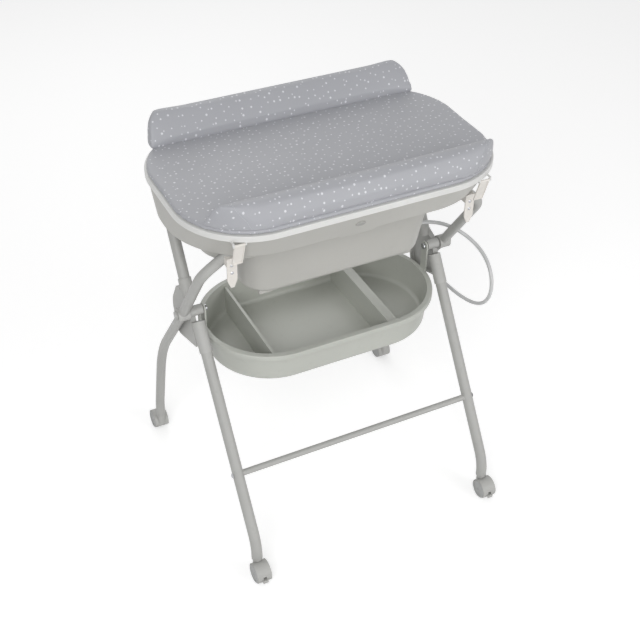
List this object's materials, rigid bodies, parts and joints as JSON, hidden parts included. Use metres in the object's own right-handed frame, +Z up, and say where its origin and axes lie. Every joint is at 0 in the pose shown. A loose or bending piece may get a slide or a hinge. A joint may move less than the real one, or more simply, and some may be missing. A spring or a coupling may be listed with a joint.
{
  "type": "changing table with bathtub",
  "caption": "Folding X-frame changing table with a bath tub under a padded top, a storage tray and twin-wheel casters.",
  "frame": {"origin": "on the floor, under the middle of the standing table", "axes": "+X to the right, +Y to the back, +Z up from the floor"},
  "size_m": [0.8283, 0.708, 1.03],
  "materials": {
    "tube": "satin",
    "frame_plastic": "matte",
    "zinc_steel": "satin",
    "latch_plastic": "satin",
    "bath_plastic": "satin",
    "button_plastic": "gloss",
    "board_plastic": "satin",
    "mat_cover": "matte",
    "tray_plastic": "satin",
    "hose_vinyl": "satin",
    "hose_rubber": "matte",
    "wheel_plastic": "matte"
  },
  "bodies": {
    "front_frame": {"front_leg_left": "tube", "front_leg_right": "tube", "rear_hoop": "tube", "knuckle_left": "frame_plastic", "knuckle_right": "frame_plastic", "crossbar": "tube", "crossbar_plugs": "frame_plastic", "crossbar_bolts": "zinc_steel", "pivot_pins": "zinc_steel", "pivot_washers": "zinc_steel", "pivot_caps": "frame_plastic", "front_foot_sockets": "frame_plastic"},
    "rear_frame": {"front_hoop": "tube", "rear_leg_left": "tube", "rear_leg_right": "tube", "leg_spigots": "frame_plastic", "splice_screws": "zinc_steel", "pivot_hub_left": "frame_plastic", "pivot_hub_right": "frame_plastic", "latch_plate_left": "latch_plastic", "latch_plate_right": "latch_plastic", "plate_screws": "zinc_steel", "rear_foot_sockets": "frame_plastic"},
    "bath": {"tub": "bath_plastic", "tub_apron": "bath_plastic", "rail_guides": "bath_plastic", "apron_button": "button_plastic", "drain_fitting": "bath_plastic", "drain_hose": "hose_vinyl", "hose_stopper": "hose_rubber", "lid_pins": "zinc_steel"},
    "plug": {"drain_plug": "button_plastic"},
    "changing_top": {"changing_board": "board_plastic", "strap_pins": "zinc_steel", "mat_pad": "mat_cover", "front_bolster": "mat_cover", "back_bolster": "mat_cover"},
    "strap_left": {"latch_strap_left": "latch_plastic"},
    "strap_right": {"latch_strap_right": "latch_plastic"},
    "storage_tray": {"tray": "tray_plastic"},
    "caster_front_left": {"caster_hood_front_left": "frame_plastic", "caster_stem_front_left": "zinc_steel", "caster_axles_front_left": "zinc_steel"},
    "wheels_front_left": {"caster_wheels_front_left": "wheel_plastic"},
    "lever_front_left": {"brake_lever_front_left": "frame_plastic"},
    "caster_front_right": {"caster_hood_front_right": "frame_plastic", "caster_stem_front_right": "zinc_steel", "caster_axles_front_right": "zinc_steel"},
    "wheels_front_right": {"caster_wheels_front_right": "wheel_plastic"},
    "lever_front_right": {"brake_lever_front_right": "frame_plastic"},
    "caster_rear_left": {"caster_hood_rear_left": "frame_plastic", "caster_stem_rear_left": "zinc_steel", "caster_axles_rear_left": "zinc_steel"},
    "wheels_rear_left": {"caster_wheels_rear_left": "wheel_plastic"},
    "lever_rear_left": {"brake_lever_rear_left": "frame_plastic"},
    "caster_rear_right": {"caster_hood_rear_right": "frame_plastic", "caster_stem_rear_right": "zinc_steel", "caster_axles_rear_right": "zinc_steel"},
    "wheels_rear_right": {"caster_wheels_rear_right": "wheel_plastic"},
    "lever_rear_right": {"brake_lever_rear_right": "frame_plastic"}
  },
  "joints": [
    {"name": "scissor_fold", "type": "hinge", "parent": "front_frame", "child": "rear_frame", "pos_m": [0, 0.038, 0.603], "axis": [-1, 0, 0], "range_deg": [0, 33]},
    {"name": "top_lift", "type": "slide", "parent": "front_frame", "child": "bath", "axis": [0, 0, 1], "range_m": [0, 1.56], "deforming": ["drain_hose"]},
    {"name": "tray_tilt", "type": "hinge", "parent": "front_frame", "child": "storage_tray", "pos_m": [0, 0.038, 0.603], "axis": [-1, 0, 0], "range_deg": [0, 75]},
    {"name": "mat_flip", "type": "hinge", "parent": "bath", "child": "changing_top", "pos_m": [0, 0.294, 0.93], "axis": [-1, 0, 0], "range_deg": [0, 100]},
    {"name": "strap_swing_left", "type": "hinge", "parent": "changing_top", "child": "strap_left", "pos_m": [-0.307, -0.1955, 0.9295], "axis": [-1, 0, 0], "range_deg": [0, 60]},
    {"name": "strap_swing_right", "type": "hinge", "parent": "changing_top", "child": "strap_right", "pos_m": [0.307, -0.1955, 0.9295], "axis": [-1, 0, 0], "range_deg": [0, 60]},
    {"name": "plug_pull", "type": "slide", "parent": "bath", "child": "plug", "axis": [0, 0, 1], "range_m": [0, 0.03]},
    {"name": "swivel_front_left", "type": "hinge", "parent": "front_frame", "child": "caster_front_left", "pos_m": [-0.333, -0.3, 0.06], "axis": [0, 0, 1], "continuous": true},
    {"name": "roll_front_left", "type": "hinge", "parent": "caster_front_left", "child": "wheels_front_left", "pos_m": [-0.333, -0.322, 0.025], "axis": [1, 0, 0], "continuous": true},
    {"name": "brake_front_left", "type": "hinge", "parent": "caster_front_left", "child": "lever_front_left", "pos_m": [-0.333, -0.337, 0.018], "axis": [-1, 0, 0], "range_deg": [0, 12]},
    {"name": "swivel_front_right", "type": "hinge", "parent": "front_frame", "child": "caster_front_right", "pos_m": [0.333, -0.3, 0.06], "axis": [0, 0, 1], "continuous": true},
    {"name": "roll_front_right", "type": "hinge", "parent": "caster_front_right", "child": "wheels_front_right", "pos_m": [0.333, -0.322, 0.025], "axis": [1, 0, 0], "continuous": true},
    {"name": "brake_front_right", "type": "hinge", "parent": "caster_front_right", "child": "lever_front_right", "pos_m": [0.333, -0.337, 0.018], "axis": [-1, 0, 0], "range_deg": [0, 12]},
    {"name": "swivel_rear_left", "type": "hinge", "parent": "rear_frame", "child": "caster_rear_left", "pos_m": [-0.366, 0.3, 0.06], "axis": [0, 0, 1], "continuous": true},
    {"name": "roll_rear_left", "type": "hinge", "parent": "caster_rear_left", "child": "wheels_rear_left", "pos_m": [-0.366, 0.322, 0.025], "axis": [1, 0, 0], "continuous": true},
    {"name": "brake_rear_left", "type": "hinge", "parent": "caster_rear_left", "child": "lever_rear_left", "pos_m": [-0.366, 0.337, 0.018], "axis": [1, 0, 0], "range_deg": [0, 12]},
    {"name": "swivel_rear_right", "type": "hinge", "parent": "rear_frame", "child": "caster_rear_right", "pos_m": [0.366, 0.3, 0.06], "axis": [0, 0, 1], "continuous": true},
    {"name": "roll_rear_right", "type": "hinge", "parent": "caster_rear_right", "child": "wheels_rear_right", "pos_m": [0.366, 0.322, 0.025], "axis": [1, 0, 0], "continuous": true},
    {"name": "brake_rear_right", "type": "hinge", "parent": "caster_rear_right", "child": "lever_rear_right", "pos_m": [0.366, 0.337, 0.018], "axis": [1, 0, 0], "range_deg": [0, 12]}
  ],
  "couplings": [
    {"joint": "top_lift", "follows": "scissor_fold", "m_per_rad": 2.7},
    {"joint": "tray_tilt", "follows": "scissor_fold", "ratio": 2.2}
  ]
}
